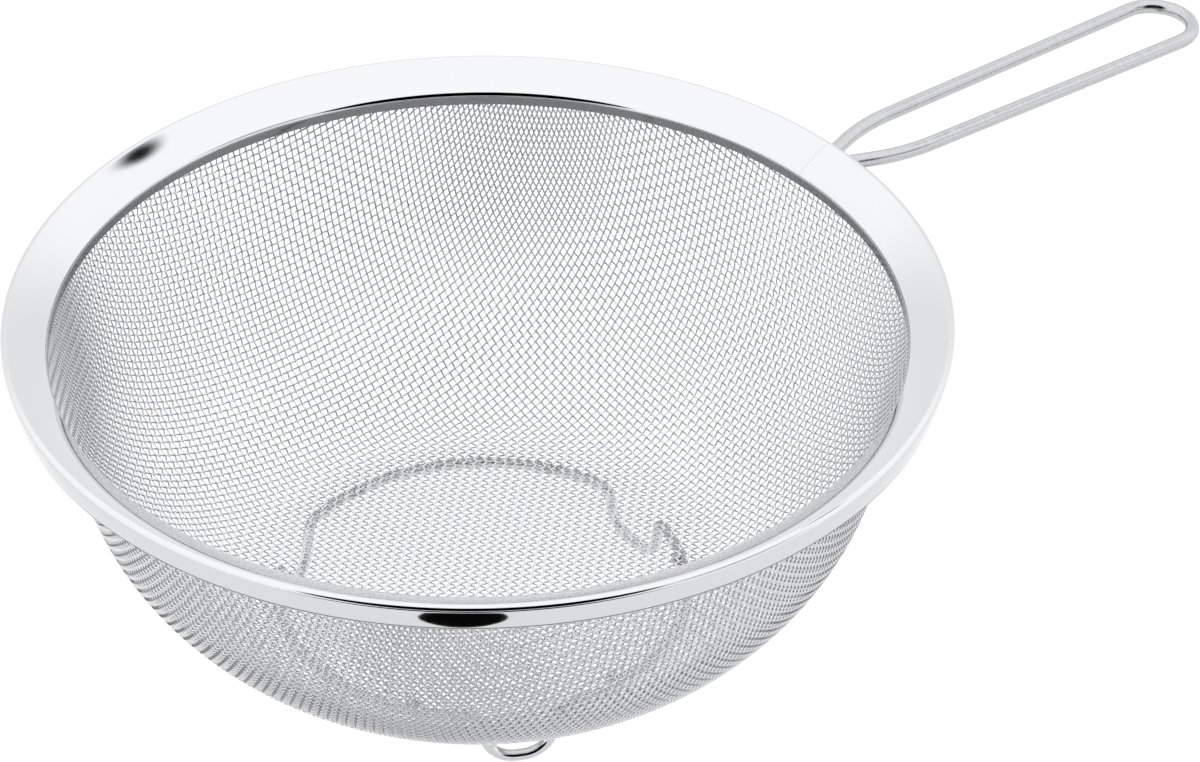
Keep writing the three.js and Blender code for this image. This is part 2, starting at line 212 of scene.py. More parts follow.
def rim_section():
    """Closed line of radius and height: the seen side of the strip, then its hidden side back."""
    seen = rounded_line(
        [
            (FLANGE_RADIUS, WALL_FOOT_HEIGHT),
            (FLANGE_RADIUS, HEM_HEIGHT),
            (BOW_RADIUS, BOW_HEIGHT),
            (RIDGE_RADIUS, RIDGE_HEIGHT),
            (BELLY_RADIUS, BELLY_HEIGHT),
            (SKIRT_RADIUS, SKIRT_HEIGHT),
            (LIP_RADIUS, LIP_HEIGHT),
        ],
        RIM_BENDS,
    )
    along = directions(seen)
    hidden = seen + STRIP_THICKNESS * np.stack([along[:, 1], -along[:, 0]], axis=1)
    return np.concatenate([seen, hidden[::-1]])


def turned(section, steps, start_degrees):
    """The section carried round the axis: (r cos a, r sin a, z) for each angle a and each point."""
    angle = np.radians(start_degrees) + np.linspace(0, 2 * np.pi, steps, endpoint=False)[:, None]
    radius, height = section.T
    height = np.broadcast_to(height, (steps, len(section)))
    return np.stack([radius * np.cos(angle), radius * np.sin(angle), height], axis=2)


rim_line = rim_section()
rim_points = turned(rim_line, RIM_TURN_STEPS, SEAM_DEGREES)
rim_corners, rim_uv = grid_corners(RIM_TURN_STEPS, len(rim_line), True, True)
rim = make_piece("folded_rim", rim_points.reshape(-1, 3), [rim_corners], rim_uv)

# %% [markdown]
# ## Round wire along a route
# The handle and the stand are both bent from round wire. A curve object with a bevel would do, but
# its ends can't be cut to a slope. So a ring of points is placed at each point of the route: one
# direction across the wire is known, such as straight up or straight out from the axis, and the
# other is the cross product of that and the wire's own direction.

# %% Sweep a circle along a route


def wire_rings(route, across, radius, sides, closed=False):
    """Rings (steps, sides, 3) round the route.

    Ring k is route_k + radius_k (cos a across_k + sin a (direction_k x across_k)) for even
    angles a.
    """
    along = directions(route, closed)
    across = across - (across * along).sum(axis=1, keepdims=True) * along
    across = across / np.linalg.norm(across, axis=1, keepdims=True)
    aside = np.cross(along, across)
    angle = np.linspace(0, 2 * np.pi, sides, endpoint=False)[None, :, None]
    radius = np.broadcast_to(radius, len(route))[:, None, None]
    ring = np.cos(angle) * across[:, None] + np.sin(angle) * aside[:, None]
    return route[:, None] + radius * ring


def wire_piece(name, rings, closed=False):
    """A closed tube from rings, with a flat face on each end where the wire has ends."""
    steps, sides = rings.shape[:2]
    corners, uv = grid_corners(steps, sides, closed, True)
    corner_arrays, uvs = [corners], [uv]
    if not closed:
        first = np.arange(sides)[None]
        corner_arrays += [first[:, ::-1], first + (steps - 1) * sides]
        uvs += [np.zeros((sides, 2)), np.ones((sides, 2))]
    return make_piece(name, rings.reshape(-1, 3), corner_arrays, np.concatenate(uvs))


# %% [markdown]
# ## The handle
# The handle is one piece of 4 mm wire. It starts at the skirt of the rim, spreads to a neck, runs
# out in two nearly parallel legs, turns at the far end, and comes back the same way. It droops by
# about two degrees. The route is drawn flat, seen from above, and the droop is added to its height.
# The two ends are then slid along the wire until they lie on the skirt's slope, as if they were
# ground to it, and the rings beside them are left out so that none of them cross.

# %% Bend the handle
HANDLE_WIRE = 4.0
HANDLE_ROOT = np.array([118.7, 2.57])
HANDLE_NECK = np.array([135.0, 8.7])
HANDLE_NECK_BEND = 9.0
HANDLE_END_RADIUS = 10.3
HANDLE_REACH = 243.9
HANDLE_HEIGHT = 82.0
HANDLE_DROOP_DEGREES = 1.9
HANDLE_SIDES, HANDLE_STEPS, END_STEPS = 24, 420, 60
RINGS_BY_ENDS = [1, 2, -3, -2]
DROOP_START = 117.32


def skirt_face_radius(height):
    """Radius of the skirt's outer face at a height: a straight line from ridge to skirt corner."""
    share = (RIDGE_HEIGHT - height) / (RIDGE_HEIGHT - SKIRT_HEIGHT)
    return RIDGE_RADIUS + share * (SKIRT_RADIUS - RIDGE_RADIUS)


def handle_route():
    """The wire's middle line: one leg, a half circle about the far end, and the other leg."""
    end = np.array([HANDLE_REACH - HANDLE_END_RADIUS, HANDLE_END_RADIUS])
    leg = rounded_line([HANDLE_ROOT, HANDLE_NECK, end], [HANDLE_NECK_BEND])
    turn = np.linspace(np.pi / 2, -np.pi / 2, END_STEPS)[1:-1, None]
    half_circle = HANDLE_END_RADIUS * np.hstack([np.cos(turn), np.sin(turn)]) + [end[0], 0.0]
    flat = evenly_spaced(np.concatenate([leg, half_circle, leg[::-1] * [1, -1]]), HANDLE_STEPS)
    height = HANDLE_HEIGHT - np.tan(np.radians(HANDLE_DROOP_DEGREES)) * (flat[:, 0] - DROOP_START)
    return np.column_stack([flat, height])


def cut_to_skirt(ring, away):
    """Slides each point of an end ring along the wire until it lies on the skirt's outer face."""
    radius = np.hypot(ring[:, 0], ring[:, 1])
    gain = (ring[:, 0] * away[0] + ring[:, 1] * away[1]) / radius
    return ring + ((skirt_face_radius(ring[:, 2]) - radius) / gain)[:, None] * away


route = handle_route()
upright = np.broadcast_to([0.0, 0.0, 1.0], route.shape)
handle_rings = wire_rings(route, upright, HANDLE_WIRE / 2, HANDLE_SIDES)
leg_way = directions(route)
handle_rings[0] = cut_to_skirt(handle_rings[0], leg_way[0])
handle_rings[-1] = cut_to_skirt(handle_rings[-1], -leg_way[-1])
handle_rings = np.delete(handle_rings, RINGS_BY_ENDS, axis=0)
handle = wire_piece("loop_handle", handle_rings)
print("handle wire length", round(float(distance_along(route)[-1])), "mm")

# %% [markdown]
# ## The stand
# The stand is a ring of 3 mm wire with three U-shaped feet bent down from it. All of it lies on one
# cylinder, so the route is drawn unrolled, as length along the ring and height, and then wrapped
# round. The direction out from the axis is always across the wire, which makes the rings easy. The
# feet are worn flat by a fraction of a millimetre where they touch the table.

# %% Bend the stand
STAND_WIRE = 3.0
STAND_RADIUS, STAND_HEIGHT = 53.6, -2.8
STAND_TURN_DEGREES = 2.5
FOOT_COUNT, FOOT_DEPTH = 3, 13.0
FOOT_TOP_HALF, FOOT_BOTTOM_HALF = 10.3, 7.6
FOOT_TOP_BEND, FOOT_BOTTOM_BEND = 2.2, 6.5
STAND_SIDES, STAND_STEPS = 20, 900
TABLE_HEIGHT = float(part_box("foot_stand")[0][2]) / MM


def stand_route():
    """The ring's middle line: s along the ring and height h become (R cos s/R, R sin s/R, h)."""
    start = np.radians(STAND_TURN_DEGREES) - np.pi / FOOT_COUNT
    corners, bends = [(0.0, 0.0)], []
    for foot in range(FOOT_COUNT):
        middle = STAND_RADIUS * 2 * np.pi / FOOT_COUNT * (foot + 0.5)
        corners += [
            (middle - FOOT_TOP_HALF, 0.0),
            (middle - FOOT_BOTTOM_HALF, -FOOT_DEPTH),
            (middle + FOOT_BOTTOM_HALF, -FOOT_DEPTH),
            (middle + FOOT_TOP_HALF, 0.0),
        ]
        bends += [FOOT_TOP_BEND, FOOT_BOTTOM_BEND, FOOT_BOTTOM_BEND, FOOT_TOP_BEND]
    corners.append((2 * np.pi * STAND_RADIUS, 0.0))
    flat = evenly_spaced(rounded_line(corners, bends), STAND_STEPS + 1)[:-1]
    angle = start + flat[:, 0] / STAND_RADIUS
    return np.column_stack(
        [STAND_RADIUS * np.cos(angle), STAND_RADIUS * np.sin(angle), STAND_HEIGHT + flat[:, 1]]
    )


route = stand_route()
outward = route * [1, 1, 0] / STAND_RADIUS
stand_rings = wire_rings(route, outward, STAND_WIRE / 2, STAND_SIDES, closed=True)
stand_rings[..., 2] = np.maximum(stand_rings[..., 2], TABLE_HEIGHT)
stand = wire_piece("foot_ring", stand_rings, closed=True)
print("feet rest at", round(float(stand_rings[..., 2].min()), 2), "mm")

# %% [markdown]
# ## The welds
# Two beads hold the handle's legs to the skirt, six hold the ring to the bowl's floor, and a collar
# of flash shows where the ring's two ends were welded together. A bead is a short drop of metal that
# has frozen in steps. Metaballs could make such drops, but a bead is also a wire whose radius rises
# and falls along it and ends almost in a point, so the sweep from above does it.

# %% Lay the weld beads
BEAD_SIDES, BEAD_STEPS = 16, 25
BEAD_TIP, BEAD_FULLNESS = 0.06, 0.6
RIPPLE_HEIGHT, RIPPLE_RATE = 0.07, 9
LEG_BEAD_RADIUS, LEG_BEAD_LENGTH = 1.17, 2.2
RING_BEAD_RADIUS, RING_BEAD_LENGTH, RING_BEADS = 0.87, 2.5, 6
COLLAR_RADIUS, COLLAR_LENGTH = 1.66, 0.2
SIDEWAYS, UPWARDS = (0.0, 1.0, 0.0), (0.0, 0.0, 1.0)


def weld_bead(name, node, radius, length, across):
    """A bead over the CAD node's middle: radius times a power of sin t, with ripples along t."""
    low, high = (np.array(corner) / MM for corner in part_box(node))
    middle, axis = (low + high) / 2, length / np.linalg.norm(length)
    reach = np.linalg.norm(length) / 2 + radius
    t = np.linspace(BEAD_TIP, np.pi - BEAD_TIP, BEAD_STEPS)
    swell = np.sin(t) ** BEAD_FULLNESS * (1 + RIPPLE_HEIGHT * np.sin(RIPPLE_RATE * t))
    line = middle - np.cos(t)[:, None] * axis * reach
    rings = wire_rings(line, np.broadcast_to(across, line.shape), radius * swell, BEAD_SIDES)
    return wire_piece(name, rings)


def ring_direction(node):
    """Direction along the stand's ring at a node's middle."""
    low, high = (np.array(corner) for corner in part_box(node))
    x, y = ((low + high) / 2)[:2]
    return np.array([-y, x, 0.0]) / np.hypot(x, y)


welds = {}
slope = np.array([RIDGE_RADIUS - SKIRT_RADIUS, 0.0, RIDGE_HEIGHT - SKIRT_HEIGHT])
along_skirt = slope / np.linalg.norm(slope) * LEG_BEAD_LENGTH
for side in ("left", "right"):
    node = f"handle_weld_{side}"
    welds[node] = weld_bead(f"{side}_leg_weld", node, LEG_BEAD_RADIUS, along_skirt, SIDEWAYS)
for number in range(1, RING_BEADS + 1):
    node = f"stand_weld_{number}"
    along_ring = ring_direction(node) * RING_BEAD_LENGTH
    welds[node] = weld_bead(f"ring_weld_{number}", node, RING_BEAD_RADIUS, along_ring, UPWARDS)
along_ring = ring_direction("stand_joint") * COLLAR_LENGTH
collar = weld_bead("ring_butt_weld", "stand_joint", COLLAR_RADIUS, along_ring, UPWARDS)
welds["stand_joint"] = collar
print("welds:", len(welds))

# %% [markdown]
# ## The shape of the bowl
# The bowl's cloth lies on a surface of revolution: a flat floor, a soft crease, an arc and a wall
# that leans out by fifteen degrees up to the rim. The middle of the cloth is what matters for
# weaving, so the section is moved out by half of the cloth's thickness. It is kept as a table of
# radius and height against length from the middle of the floor, which is all that a net on such a
# surface needs.

# %% Draw the bowl's section
CLOTH_THICKNESS = 1.0
FLOOR_RADIUS, CREASE_BEND = 63.0, 6.0
GATE = np.array([109.4, 76.4])
SHOULDER_DROP, WALL_DRAFT_DEGREES = 29.0, 15.0
MARGIN_TOP = 79.1
SPARE_MARGIN = 6.0
SECTION_STEP = 0.1
SOFTEN = 15
ARC_STEPS, CREASE_STEPS = 120, 30
WALL_ROWS = 400


def bowl_section():
    """Length, points (radius, height) and directions of the line in the middle of the cloth.

    The arc goes on smoothly from the wall at the shoulder and meets the floor at its edge. The
    crease there is (1 - t)^2 before + 2 t (1 - t) corner + t^2 (the arc's start), for t from 0 to 1.
    """
    draft = np.radians(WALL_DRAFT_DEGREES)
    shoulder = GATE - SHOULDER_DROP * np.array([np.tan(draft), 1.0])
    inward = np.array([-np.cos(draft), np.sin(draft)])
    span = np.array([FLOOR_RADIUS, 0.0]) - shoulder
    radius = span @ span / (2 * span @ inward)
    centre = shoulder + radius * inward
    floor_angle = np.arctan2(-centre[1], FLOOR_RADIUS - centre[0])
    angle = np.linspace(floor_angle + CREASE_BEND / radius, -draft, ARC_STEPS)[:, None]
    arc = centre + radius * np.hstack([np.cos(angle), np.sin(angle)])
    t = np.linspace(0, 1, CREASE_STEPS)[:, None]
    before, corner = np.array([[FLOOR_RADIUS - CREASE_BEND, 0.0], [FLOOR_RADIUS, 0.0]])
    crease = (1 - t) ** 2 * before + 2 * t * (1 - t) * corner + t**2 * arc[0]
    top = np.array([[GATE[0], MARGIN_TOP + SPARE_MARGIN]])
    line = np.concatenate([[[0.0, 0.0]], crease, arc[1:], GATE[None], top])
    count = int(distance_along(line)[-1] / SECTION_STEP)
    line = evenly_spaced(line, count)
    along = directions(line)
    window = np.ones(2 * SOFTEN + 1) / (2 * SOFTEN + 1)
    padded = [np.pad(column, SOFTEN, "edge") for column in along.T]
    along = np.stack([np.convolve(column, window, "valid") for column in padded], axis=1)
    along /= np.linalg.norm(along, axis=1, keepdims=True)
    middle = line + CLOTH_THICKNESS / 2 * np.stack([along[:, 1], -along[:, 0]], axis=1)
    return distance_along(middle), middle, along


section_length, section_line, section_way = bowl_section()
cloth_reach = np.interp(MARGIN_TOP, section_line[-WALL_ROWS:, 1], section_length[-WALL_ROWS:])
print("from the middle of the floor to the cloth's edge:", round(float(cloth_reach), 1), "mm")

# %% [markdown]
# ## Draping the cloth
# Woven wire doesn't stretch, but it shears: the square cells turn into diamonds, and the wires keep
# their distance along each other. So the cloth on the bowl is a net whose knots are all one pitch
# apart. Two wires, along and across the handle, run straight up the wall. Every other knot is the
# point on the surface that is one pitch from the two knots before it, found with a few Newton steps
# for its length s and angle a. All knots of one diagonal are found together as one array.

# %% Drape one quarter of the net
PITCH = 1.88
NEWTON_STEPS = 7
SPARE_KNOTS = 3


def on_bowl(s, a):
    """Point (r cos a, r sin a, z) of the cloth at length s and angle a, and its two slopes."""
    radius, height = (np.interp(s, section_length, column) for column in section_line.T)
    out, up = (np.interp(s, section_length, column) for column in section_way.T)
    cos, sin = np.cos(a), np.sin(a)
    point = np.stack([radius * cos, radius * sin, height], axis=-1)
    along_s = np.stack([out * cos, out * sin, up], axis=-1)
    along_a = np.stack([-radius * sin, radius * cos, 0 * a], axis=-1)
    return point, along_s, along_a


def drape_quarter(knots):
    """Length and angle of knot (i, j), i pitches along the handle's way and j across it.

    Each knot solves |knot - left| = |knot - below| = pitch, by Newton's method on both squares.
    """
    s, a = np.full((2, knots, knots), np.nan)
    s[:, 0] = s[0, :] = np.arange(knots) * PITCH
    a[:, 0], a[0, :], a[0, 0] = 0.0, np.pi / 2, np.pi / 4
    for diagonal in range(2, 2 * knots - 1):
        i = np.arange(max(1, diagonal - knots + 1), min(knots - 1, diagonal - 1) + 1)
        i = i[s[i - 1, diagonal - i - 1] < cloth_reach]
        j = diagonal - i
        before = ((i - 1, j), (i, j - 1), (i - 1, j - 1))
        left, below, corner = (on_bowl(s[k], a[k])[0] for k in before)
        guess = left + below - corner
        new_a = np.arctan2(guess[:, 1], guess[:, 0])
        new_s = s[i - 1, j] + s[i, j - 1] - s[i - 1, j - 1]
        for _ in range(NEWTON_STEPS):
            point, by_s, by_a = on_bowl(new_s, new_a)
            miss_left = ((point - left) ** 2).sum(1) - PITCH**2
            miss_below = ((point - below) ** 2).sum(1) - PITCH**2
            left_s, left_a = (2 * ((point - left) * slope).sum(1) for slope in (by_s, by_a))
            below_s, below_a = (2 * ((point - below) * slope).sum(1) for slope in (by_s, by_a))
            scale = left_s * below_a - left_a * below_s
            new_s = new_s - (miss_left * below_a - miss_below * left_a) / scale
            new_a = new_a - (left_s * miss_below - below_s * miss_left) / scale
        s[i, j], a[i, j] = new_s, new_a
    return s, a


quarter_knots = int(cloth_reach / PITCH) + SPARE_KNOTS
quarter_s, quarter_a = drape_quarter(quarter_knots)
print("knots in one quarter:", int((quarter_s < cloth_reach).sum()))

# %% [markdown]
# ## The whole net
# The bowl is the same on both sides of the handle and at both ends, so the other three quarters are
# mirror images. Mirroring the angles is enough, because the length from the middle stays the same.
# The net also needs the cloth's normal at every knot, which points to the inside of the bowl.

# %% Mirror the quarter
counts = np.arange(1 - quarter_knots, quarter_knots)
whole = np.ix_(np.abs(counts), np.abs(counts))
knot_s, knot_a = quarter_s[whole], quarter_a[whole]
sides = np.where(counts < 0, -1, 1)
cos_a = np.cos(knot_a) * sides[:, None]
sin_a = np.sin(knot_a) * sides[None, :]
radius, height = (np.interp(knot_s, section_length, column) for column in section_line.T)
out, up = (np.interp(knot_s, section_length, column) for column in section_way.T)
knots = np.stack([radius * cos_a, radius * sin_a, height], axis=-1)
normals = np.stack([-up * cos_a, -up * sin_a, out], axis=-1)
middle_knot = quarter_knots - 1
knots[middle_knot, middle_knot, :2] = 0.0
print("knots in the cloth:", int((knot_s < cloth_reach).sum()))

# %% [markdown]
# ## Weaving the wires
# In plain weave each wire goes over one crossing wire and under the next. Between two crossings it
# is straight, and it bends only where it lies on the other wire. So from knot to knot a wire is a
# plain cylinder, from nearly half its thickness above the net to as much below it, and short links
# join the cylinders at the crossings. The wires of the two directions go over and under in opposite
# senses, so they touch where they cross. A picture of cloth with holes in it would be lighter, but
# real wires throw their own highlights from every side. The cylinders' true normals are known, and
# giving them to the mesh makes eight points per ring look round.

# %% Place the rings of the woven wires
CLOTH_WIRE = 0.52
BEND_SHARE = 0.09
WIRE_SIDES = 8


def woven_rings(knots, normals, reach_s, sense):
    """Rings of all wires along the net's first axis, their normals, and which are in the cloth.

    From knot k to the next, rings 2k and 2k + 1 stand at the two ends of one straight cylinder. A
    ring's points are line + half the wire (cos a top + sin a aside), where top leads off the cloth.
    """
    count, wires = knots.shape[:2]
    lean = np.arcsin(CLOTH_WIRE / PITCH)
    lift = CLOTH_WIRE * (np.cos(lean) - 0.5)
    parity = sense * (-1.0) ** (np.arange(count)[:, None] + np.arange(wires)[None, :])
    start = (1 - BEND_SHARE) * knots[:-1] + BEND_SHARE * knots[1:]
    end = BEND_SHARE * knots[:-1] + (1 - BEND_SHARE) * knots[1:]
    start = start + (lift * parity[:-1])[..., None] * normals[:-1]
    end = end + (lift * parity[1:])[..., None] * normals[1:]
    aside = np.cross(end - start, normals[:-1] + normals[1:])
    aside /= np.linalg.norm(aside, axis=-1, keepdims=True)
    top = np.cross(aside, end - start)
    top /= np.linalg.norm(top, axis=-1, keepdims=True)
    angle = np.linspace(0, 2 * np.pi, WIRE_SIDES, endpoint=False)[:, None]
    ring = np.cos(angle) * top[..., None, :] + np.sin(angle) * aside[..., None, :]
    ring = np.repeat(ring, 2, axis=0)
    line = np.stack([start, end], axis=1).reshape(-1, wires, 3)
    inside = np.repeat(np.maximum(reach_s[:-1], reach_s[1:]) < cloth_reach, 2, axis=0)
    return line[..., None, :] + CLOTH_WIRE / 2 * ring, ring, inside


ways = {
    "lengthwise": woven_rings(knots, normals, knot_s, 1),
    "crosswise": woven_rings(knots.swapaxes(0, 1), normals.swapaxes(0, 1), knot_s.T, -1),
}
print("woven wire:", round(2 * PITCH * MM * int((knot_s < cloth_reach).sum())), "m")

# %% [markdown]
# ## From rings to cloth
# Each wire is a tube through its rings, with a flat face at both ends, where it was cut for the rim.
# One object per wire would make Blender slow, and one for all of them would be too large, so the
# wires of each direction are shared out over a few objects. The faces of an object are found for all
# of its wires at once: two rings that follow each other are joined where both are in the cloth.

# %% Join the rings into pieces
OBJECTS_PER_WAY = 4


def cloth_piece(name, rings, ring_normals, inside):
    """One object from the rings that are in the cloth, joined ring to ring along each wire."""
    number = np.where(inside, np.cumsum(inside).reshape(inside.shape) - 1, -1)
    joined = inside[:-1] & inside[1:]
    first, second = number[:-1][joined], number[1:][joined]
    side = np.arange(WIRE_SIDES)
    following = (side + 1) % WIRE_SIDES
    corners = np.stack(
        [
            first[:, None] * WIRE_SIDES + side,
            first[:, None] * WIRE_SIDES + following,
            second[:, None] * WIRE_SIDES + following,
            second[:, None] * WIRE_SIDES + side,
        ],
        axis=-1,
    ).reshape(-1, 4)
    bounded = np.pad(inside, ((1, 1), (0, 0)))
    starts = number[inside & ~bounded[:-2]][:, None] * WIRE_SIDES + side[::-1]
    ends = number[inside & ~bounded[2:]][:, None] * WIRE_SIDES + side
    step, wire = np.nonzero(joined)
    round_wire = np.stack([side, side + 1, side + 1, side], axis=1) / WIRE_SIDES
    u = np.stack([step, step, step + 1, step + 1], axis=1)[:, None] / len(rings)
    v = (wire[:, None, None] + round_wire) / rings.shape[1]
    uv = np.stack(np.broadcast_arrays(u, v), axis=-1).reshape(-1, 2)
    uv = np.concatenate([uv, np.zeros((starts.size + ends.size, 2))])
    points, normals = rings[inside].reshape(-1, 3), ring_normals[inside].reshape(-1, 3)
    return make_piece(name, points, [corners, starts, ends], uv, "OFBake", normals)


cloth = []
for way, (rings, ring_normals, inside) in ways.items():
    share = np.cumsum(inside.sum(axis=0)) / inside.sum() * OBJECTS_PER_WAY
    for group in range(OBJECTS_PER_WAY):
        chosen = (np.ceil(share) - 1).clip(0, OBJECTS_PER_WAY - 1) == group
        shared = (values[:, chosen] for values in (rings, ring_normals, inside))
        cloth.append(cloth_piece(f"cloth_{way}_{group + 1}", *shared))

# %% [markdown]
# ## Steel in five finishes
# All of the colander is stainless steel, but each piece was worked in its own way: the rim is
# polished, the cloth is bright wire, the handle is brushed round its wire, the stand is plain drawn
# wire, and the welds are dull. One plain metal for all would be quick, but then the pieces would
# look cast as one. So each finish starts as a metal of its own, and a noise varies its roughness.
# The values of all five stand in one table: colour, even roughness, and the least and the most that
# the noise makes of it.

# %% Build a metal
FINISHES = {
    "polished_strip": ((0.61, 0.62, 0.63), 0.06, 0.04, 0.08),
    "bright_wire": ((0.645, 0.655, 0.67), 0.06, 0.04, 0.08),
    "satin_wire": ((0.47, 0.48, 0.49), 0.2, 0.14, 0.26),
    "drawn_wire": ((0.58, 0.59, 0.6), 0.08, 0.05, 0.12),
    "dull_weld": ((0.62, 0.61, 0.6), 0.45, 0.35, 0.6),
}
NOISE_LOW, NOISE_HIGH = 0.3, 0.7


def new_finish(name):
    """A metal with its even values set on the shader's own sockets, and its nodes and links."""
    colour, roughness = FINISHES[name][:2]
    material = bpy.data.materials.new(name)
    material.use_nodes = True
    nodes, links = material.node_tree.nodes, material.node_tree.links
    shader = nodes["Principled BSDF"]
    shader.inputs["Base Color"].default_value = (*colour, 1.0)
    shader.inputs["Metallic"].default_value = 1.0
    shader.inputs["Roughness"].default_value = roughness
    return material, nodes, links, shader


print("finishes:", ", ".join(FINISHES))

# %% [markdown]
# ## Traces of the work
# Tools leave traces along the way they move. A picture of scratches could show them, but it has
# pixels and edges that repeat. A noise texture has neither, and coordinates that are stretched by a
# different factor each way draw its grains out into lines. The coordinates are the piece's own, so
# the traces stay on the metal when the camera moves. Each helper below adds a node or two.

# %% Add noise, bumps and tints


def add_noise(nodes, links, source, stretch, detail):
    """A noise texture on coordinates that are stretched by three factors."""
    mapping = nodes.new("ShaderNodeMapping")
    mapping.inputs["Scale"].default_value = stretch
    links.new(source, mapping.inputs["Vector"])
    noise = nodes.new("ShaderNodeTexNoise")
    noise.inputs["Scale"].default_value = 1.0
    noise.inputs["Detail"].default_value = detail
    links.new(mapping.outputs["Vector"], noise.inputs["Vector"])
    return noise.outputs["Fac"]


def vary_roughness(nodes, links, noise, name, shader):
    """Spreads a noise of the usual range over the least to the most roughness of a finish."""
    least, most = FINISHES[name][2:]
    spread = nodes.new("ShaderNodeMapRange")
    spread.inputs["From Min"].default_value = NOISE_LOW
    spread.inputs["From Max"].default_value = NOISE_HIGH
    spread.inputs["To Min"].default_value = least
    spread.inputs["To Max"].default_value = most
    links.new(noise, spread.inputs["Value"])
    links.new(spread.outputs["Result"], shader.inputs["Roughness"])


def add_bump(nodes, links, height, strength, distance, shader):
    """Lets a noise tilt the surface's normal a little."""
    bump = nodes.new("ShaderNodeBump")
    bump.inputs["Strength"].default_value = strength
    bump.inputs["Distance"].default_value = distance
    links.new(height, bump.inputs["Height"])
    links.new(bump.outputs["Normal"], shader.inputs["Normal"])


def add_ramp(nodes, links, value, places, colours):
    """One colour up to the first place of a value, another from the second, a blend between."""
    ramp = nodes.new("ShaderNodeValToRGB")
    for element, place, colour in zip(ramp.color_ramp.elements, places, colours):
        element.position = place
        element.color = (*colour, 1.0)
    links.new(value, ramp.inputs["Fac"])
    return ramp.outputs["Color"]


def add_tint(nodes, links, value, dark, light, shader):
    """Lets a noise of the usual range shift the metal's colour from dark to light."""
    ramp = add_ramp(nodes, links, value, (NOISE_LOW, NOISE_HIGH), (dark, light))
    links.new(ramp, shader.inputs["Base Color"])


def surface_map(nodes):
    """The piece's own map: along the first way of its grid, and across it."""
    node = nodes.new("ShaderNodeUVMap")
    node.uv_map = "surface"
    return node.outputs["UV"]


def object_place(nodes):
    """The place on the piece, in metres from the origin of the frame."""
    return nodes.new("ShaderNodeTexCoord").outputs["Object"]


# %% [markdown]
# ## The polished rim
# The rim was buffed along its length, so its streaks run that way. Its inner wall is given a dark
# colour, a painted shade for the shade that the wall lies in below the hem, and a faint line beside
# the handle shows where the strip's two ends meet. Both could be painted in a picture. Here they follow
# the rim's own map, which counts rows of points across the strip and the way round it, so they stay
# sharp from close up. The way round goes from 0 to 1, and folding it at a half gives the distance
# from the seam on either side.

# %% Polish the rim
POLISH_STREAKS, STREAK_DETAIL = (30.0, 900.0, 1.0), 2.0
# painted shade: the dark colour of the rim's inner wall, below the hem
WALL_SHADE_COLOUR = (0.24, 0.25, 0.255)
WALL_ROW, HEM_ROW = 1, 5
SEAM_SHARE, SEAM_SHADE = 0.0008, 0.92
HALF_ROUND = 0.5

polished, nodes, links, shader = new_finish("polished_strip")
streaks = add_noise(nodes, links, surface_map(nodes), POLISH_STREAKS, STREAK_DETAIL)
vary_roughness(nodes, links, streaks, "polished_strip", shader)
across = nodes.new("ShaderNodeSeparateXYZ")
links.new(surface_map(nodes), across.inputs["Vector"])
hem_shares = (WALL_ROW / len(rim_line), HEM_ROW / len(rim_line))
hem_colours = (WALL_SHADE_COLOUR, FINISHES["polished_strip"][0])
# paints shade on the inner wall up to the hem, and the polished colour beyond it
shaded_wall_colour = add_ramp(nodes, links, across.outputs["Y"], hem_shares, hem_colours)
from_seam = nodes.new("ShaderNodeMath")
from_seam.operation = "PINGPONG"
from_seam.inputs[1].default_value = HALF_ROUND
links.new(across.outputs["X"], from_seam.inputs[0])
seam = nodes.new("ShaderNodeMapRange")
seam.inputs["From Max"].default_value = SEAM_SHARE
seam.inputs["To Min"].default_value = SEAM_SHADE
links.new(from_seam.outputs["Value"], seam.inputs["Value"])
shaded = nodes.new("ShaderNodeVectorMath")
shaded.operation = "SCALE"
links.new(shaded_wall_colour, shaded.inputs[0])
links.new(seam.outputs["Result"], shaded.inputs["Scale"])
links.new(shaded.outputs["Vector"], shader.inputs["Base Color"])
print("rows across the strip:", len(rim_line))

# %% [markdown]
# ## Wires and welds
# Bright wire comes out of a polished die, so the cloth's gloss varies only in soft patches. The
# handle was brushed round and round, which leaves fine rings of lighter and darker metal. The stand
# has faint lines along its wire. The welds are rough with scale, so their noise is a small bump as
# well. Brushed metal could also be made with an anisotropic shader, but at this size of wire the
# rings themselves are seen.

# %% Finish the wires and the welds
CLOTH_PATCHES, PATCH_DETAIL = (300.0, 300.0, 300.0), 2.0
BRUSHED_RINGS, RING_DETAIL = (420.0, 2.5, 1.0), 2.0
BRUSHED_DARK, BRUSHED_LIGHT = (0.43, 0.44, 0.45), (0.5, 0.51, 0.52)
DRAWN_LINES, LINE_DETAIL = (40.0, 60.0, 1.0), 3.0
WELD_GRAIN, GRAIN_DETAIL = (2500.0, 2500.0, 2500.0), 3.0
GRAIN_STRENGTH, GRAIN_HEIGHT = 0.4, 0.1 * MM

bright_wire, nodes, links, shader = new_finish("bright_wire")
patches = add_noise(nodes, links, object_place(nodes), CLOTH_PATCHES, PATCH_DETAIL)
vary_roughness(nodes, links, patches, "bright_wire", shader)

satin_wire, nodes, links, shader = new_finish("satin_wire")
brushed = add_noise(nodes, links, surface_map(nodes), BRUSHED_RINGS, RING_DETAIL)
vary_roughness(nodes, links, brushed, "satin_wire", shader)
add_tint(nodes, links, brushed, BRUSHED_DARK, BRUSHED_LIGHT, shader)

drawn_wire, nodes, links, shader = new_finish("drawn_wire")
drawn = add_noise(nodes, links, surface_map(nodes), DRAWN_LINES, LINE_DETAIL)
vary_roughness(nodes, links, drawn, "drawn_wire", shader)

